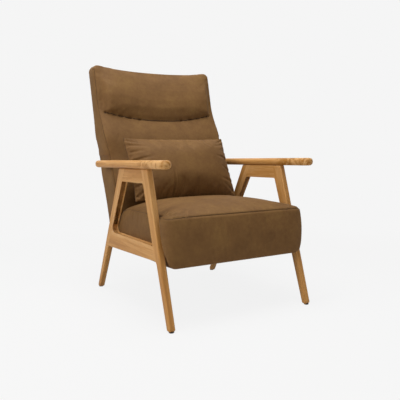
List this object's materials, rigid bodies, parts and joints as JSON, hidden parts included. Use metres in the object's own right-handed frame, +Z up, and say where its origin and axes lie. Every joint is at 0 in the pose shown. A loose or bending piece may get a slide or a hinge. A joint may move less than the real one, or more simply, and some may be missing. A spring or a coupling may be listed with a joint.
{
  "type": "armchair",
  "caption": "Fireside chair with a high leather back and sprung seat between two A-shaped oak side frames, with a loose lumbar cushion that lifts off.",
  "frame": {"origin": "on the floor, under the middle of the whole chair's outline", "axes": "+Z up, -Y the way the sitter faces, +X to the sitter's left hand side when seated facing -Y"},
  "size_m": [0.6744, 0.8534, 1.0148],
  "materials": {
    "oak": "light oak, satin lacquer",
    "pine": "sawn softwood frame, bare",
    "leather": "matt tan-brown nubuck leather",
    "foam": "cut polyurethane foam",
    "cloth": "black spunbonded dust cloth",
    "webbing": "woven elastic webbing",
    "steel": "zinc-plated steel",
    "felt": "pressed wool felt on a steel disc"
  },
  "bodies": {
    "chair": {"left_front_leg": "oak", "left_rear_leg": "oak", "left_top_rail": "oak", "left_side_rail": "oak", "left_armrest": "oak", "left_front_arm_dowel": "oak", "left_rear_arm_dowel": "oak", "left_front_glide": "felt", "left_rear_glide": "felt", "left_front_insert": "steel", "left_rear_insert": "steel", "right_front_leg": "oak", "right_rear_leg": "oak", "right_top_rail": "oak", "right_side_rail": "oak", "right_armrest": "oak", "right_front_arm_dowel": "oak", "right_rear_arm_dowel": "oak", "right_front_glide": "felt", "right_rear_glide": "felt", "right_front_insert": "steel", "right_rear_insert": "steel", "seat_front_rail": "pine", "seat_rear_rail": "pine", "seat_left_rail": "pine", "seat_left_front_block": "pine", "seat_left_rear_block": "pine", "seat_right_rail": "pine", "seat_right_front_block": "pine", "seat_right_rear_block": "pine", "seat_spring_1": "steel", "seat_spring_2": "steel", "seat_spring_3": "steel", "seat_spring_4": "steel", "seat_spring_5": "steel", "seat_cover": "leather", "seat_foam": "foam", "seat_dust_cover": "cloth", "seat_left_front_bolt": "steel", "seat_left_rear_bolt": "steel", "seat_right_front_bolt": "steel", "seat_right_rear_bolt": "steel", "back_cover": "leather", "back_outside_panel": "leather", "back_foam": "foam", "back_left_stile": "pine", "back_right_stile": "pine", "back_top_rail": "pine", "back_middle_rail": "pine", "back_bottom_rail": "pine", "back_webbing_1": "webbing", "back_webbing_2": "webbing", "back_webbing_3": "webbing", "back_webbing_4": "webbing", "back_bolt_1": "steel", "back_bolt_2": "steel", "back_bolt_3": "steel", "back_bolt_4": "steel"},
    "cushion": {"lumbar_cushion": "leather"}
  },
  "joints": [
    {"name": "cushion_lift", "type": "slide", "parent": "chair", "child": "cushion", "axis": [0, -0.5, 0.866], "range_m": [0, 0.25]}
  ]
}
